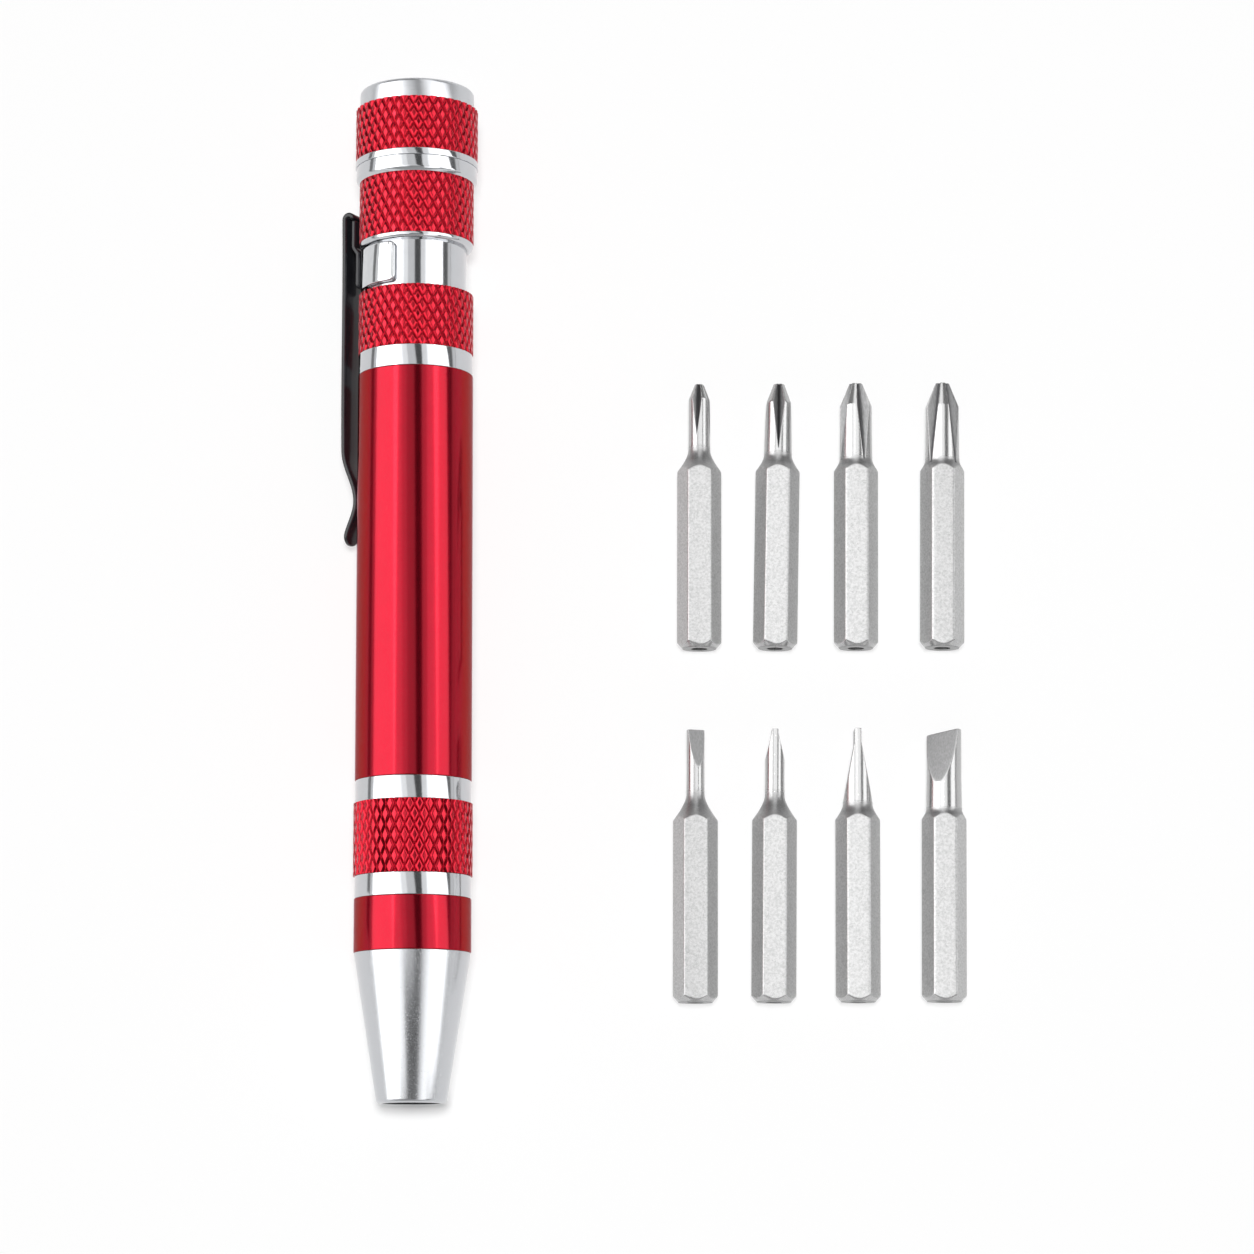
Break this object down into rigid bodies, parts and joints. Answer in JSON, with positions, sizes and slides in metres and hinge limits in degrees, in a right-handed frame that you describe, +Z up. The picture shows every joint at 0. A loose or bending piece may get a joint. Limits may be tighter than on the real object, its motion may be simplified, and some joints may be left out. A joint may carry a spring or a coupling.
{
  "type": "pocket screwdriver",
  "caption": "Pen-shaped pocket screwdriver with knurled grips, a pocket clip and a screw-on cap over its bit store, lying beside its loose hex bits.",
  "frame": {"origin": "centre of the plan of the whole set as it lies, on the surface that it lies on", "axes": "+Z up off the table, +Y along the pen from the nose to the cap, +X from the pen to its bits"},
  "size_m": [0.0656, 0.106, 0.0129],
  "materials": {
    "red_anodised": "gloss red anodised",
    "red_knurled": "red anodised over diamond knurling",
    "bright_turned": "bright turned",
    "satin_nose": "satin turned",
    "magnet": "plated magnet",
    "seal_rubber": "black rubber",
    "clip_bright": "bright plated sheet steel",
    "clip_black": "gloss black plated spring steel",
    "bit_steel": "satin plated tool steel"
  },
  "bodies": {
    "barrel": {"nose_cone": "satin_nose", "bit_magnet": "magnet", "inner_tube": "bright_turned", "front_sleeve": "red_anodised", "front_ring": "bright_turned", "lower_grip": "red_knurled", "lower_ring": "bright_turned", "main_sleeve": "red_anodised", "collar_ring": "bright_turned", "collar_grip": "red_knurled", "neck_ring": "bright_turned", "upper_grip": "red_knurled", "flange_ring": "bright_turned"},
    "seal": {"cap_seal": "seal_rubber"},
    "cap": {"cap_shell": "bright_turned", "cap_grip": "red_knurled"},
    "clip": {"clip_band": "clip_bright"},
    "leaf": {"clip_leaf": "clip_black"},
    "cross_bit_000": {"cross_bit_000": "bit_steel"},
    "cross_bit_00": {"cross_bit_00": "bit_steel"},
    "cross_bit_0": {"cross_bit_0": "bit_steel"},
    "cross_bit_1": {"cross_bit_1": "bit_steel"},
    "slot_bit_15": {"slot_bit_15": "bit_steel"},
    "slot_bit_20": {"slot_bit_20": "bit_steel"},
    "slot_bit_30": {"slot_bit_30": "bit_steel"},
    "slot_bit_35": {"slot_bit_35": "bit_steel"}
  },
  "joints": [
    {"name": "cap_rise", "type": "slide", "parent": "barrel", "child": "seal", "axis": [0, 1, 0], "range_m": [0, 0.00525]},
    {"name": "cap_turn", "type": "hinge", "parent": "seal", "child": "cap", "pos_m": [-0.02479, 0.0446, 0.00645], "axis": [0, 1, 0], "range_deg": [0, 2520]},
    {"name": "clip_turn", "type": "hinge", "parent": "barrel", "child": "clip", "pos_m": [-0.02479, 0.0335, 0.00645], "axis": [0, 1, 0], "continuous": true},
    {"name": "clip_flex", "type": "hinge", "parent": "clip", "child": "leaf", "pos_m": [-0.0311, 0.03968, 0.00337], "axis": [0.4384, 0, -0.8988], "range_deg": [0, 4], "stiffness_Nm_per_rad": 0.6},
    {"name": "cross_bit_000_lift", "type": "slide", "parent": "barrel", "child": "cross_bit_000", "axis": [0, 0, 1], "range_m": [0, 0.03]},
    {"name": "cross_bit_00_lift", "type": "slide", "parent": "barrel", "child": "cross_bit_00", "axis": [0, 0, 1], "range_m": [0, 0.03]},
    {"name": "cross_bit_0_lift", "type": "slide", "parent": "barrel", "child": "cross_bit_0", "axis": [0, 0, 1], "range_m": [0, 0.03]},
    {"name": "cross_bit_1_lift", "type": "slide", "parent": "barrel", "child": "cross_bit_1", "axis": [0, 0, 1], "range_m": [0, 0.03]},
    {"name": "slot_bit_15_lift", "type": "slide", "parent": "barrel", "child": "slot_bit_15", "axis": [0, 0, 1], "range_m": [0, 0.03]},
    {"name": "slot_bit_20_lift", "type": "slide", "parent": "barrel", "child": "slot_bit_20", "axis": [0, 0, 1], "range_m": [0, 0.03]},
    {"name": "slot_bit_30_lift", "type": "slide", "parent": "barrel", "child": "slot_bit_30", "axis": [0, 0, 1], "range_m": [0, 0.03]},
    {"name": "slot_bit_35_lift", "type": "slide", "parent": "barrel", "child": "slot_bit_35", "axis": [0, 0, 1], "range_m": [0, 0.03]}
  ],
  "couplings": [
    {"joint": "cap_turn", "follows": "cap_rise", "rad_per_m": 8377.6}
  ]
}
